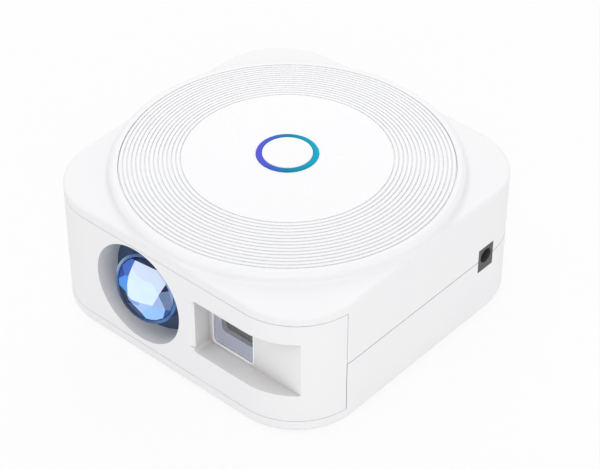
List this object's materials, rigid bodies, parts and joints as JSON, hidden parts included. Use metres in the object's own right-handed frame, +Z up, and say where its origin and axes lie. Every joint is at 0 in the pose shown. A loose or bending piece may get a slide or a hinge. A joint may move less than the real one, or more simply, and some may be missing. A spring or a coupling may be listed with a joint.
{
  "type": "star projector",
  "caption": "Rounded-square tabletop star and nebula projector with a ring-grooved domed top, lit key, faceted lens in a round bore and a laser window in a recess.",
  "frame": {"origin": "middle of the footprint, on the surface that the feet stand on", "axes": "+Z up; the faceplate with lens and window looks along -Y; the power socket is on the +X side"},
  "size_m": [0.141, 0.141, 0.0674],
  "materials": {
    "case_plastic": "satin moulded white",
    "disc_plastic": "glossy moulded white",
    "key_plastic": "glossy moulded white",
    "light_ring": "milky light guide lit blue to cyan",
    "black_plastic": "moulded black",
    "switch_steel": "tinned steel",
    "green_board": "glass fibre with solder resist",
    "white_board": "white solder resist",
    "lamp_resin": "cast resin",
    "steel": "zinc plated",
    "clear_ring": "clear tinted acrylic",
    "blue_lens": "clear blue acrylic, cut facets",
    "dark_blue_plastic": "moulded dark blue",
    "clear_plastic": "clear acrylic",
    "dark_plastic": "moulded dark grey",
    "pinion_plastic": "moulded acetal",
    "motor_steel": "drawn steel can",
    "sink_aluminium": "extruded",
    "window_glass": "clear with a grey violet coat",
    "frame_plastic": "moulded pale violet grey",
    "laser_brass": "turned",
    "socket_plastic": "moulded dark grey",
    "pin_metal": "nickel plated",
    "foot_rubber": "soft pale grey"
  },
  "bodies": {
    "case": {"lower_shell": "case_plastic", "upper_shell": "case_plastic", "faceplate": "case_plastic", "top_disc": "disc_plastic", "light_ring": "light_ring", "tact_switch": "switch_steel", "key_board": "green_board", "ring_lamps": "lamp_resin", "key_board_screws": "steel", "lens_ring": "clear_ring", "faceted_lens": "blue_lens", "lens_holder": "dark_blue_plastic", "lug_screws": "steel", "wheel_axle": "steel", "gear_plate": "dark_plastic", "gear_plate_screws": "steel", "nebula_motor": "motor_steel", "light_tube": "dark_plastic", "tube_screws": "steel", "condenser_lens": "clear_plastic", "lamp_board": "white_board", "emitters": "lamp_resin", "heat_sink": "sink_aluminium", "heat_sink_screws": "steel", "window_glass": "window_glass", "window_frame": "frame_plastic", "star_bracket": "dark_plastic", "star_motor": "motor_steel", "laser_barrel": "laser_brass", "bracket_screws": "steel", "main_board": "green_board", "main_board_parts": "black_plastic", "main_board_screws": "steel", "power_board": "green_board", "power_board_parts": "black_plastic", "power_board_screws": "steel", "dc_jack": "socket_plastic", "jack_pin": "pin_metal", "case_screws": "steel", "rubber_feet": "foot_rubber"},
    "key": {"power_key": "key_plastic", "switch_plunger": "black_plastic"},
    "ripple": {"ripple_wheel": "clear_plastic"},
    "pinion": {"drive_pinion": "pinion_plastic", "nebula_shaft": "steel"},
    "grating": {"grating_wheel": "clear_plastic", "star_shaft": "steel"}
  },
  "joints": [
    {"name": "key_press", "type": "slide", "parent": "case", "child": "key", "axis": [0, 0, -1], "range_m": [0, 0.0006], "stiffness_N_per_m": 600},
    {"name": "ripple_spin", "type": "hinge", "parent": "case", "child": "ripple", "pos_m": [-0.02947, -0.0543, 0.02899], "axis": [0.1336, -0.9751, 0.1771], "continuous": true},
    {"name": "pinion_spin", "type": "hinge", "parent": "case", "child": "pinion", "pos_m": [-0.01746, -0.04874, 0.05055], "axis": [0.1336, -0.9751, 0.1771], "continuous": true},
    {"name": "grating_spin", "type": "hinge", "parent": "case", "child": "grating", "pos_m": [0.0412, -0.0536, 0.0353], "axis": [0, -1, 0], "continuous": true}
  ],
  "couplings": [
    {"joint": "pinion_spin", "follows": "ripple_spin", "ratio": -5}
  ]
}
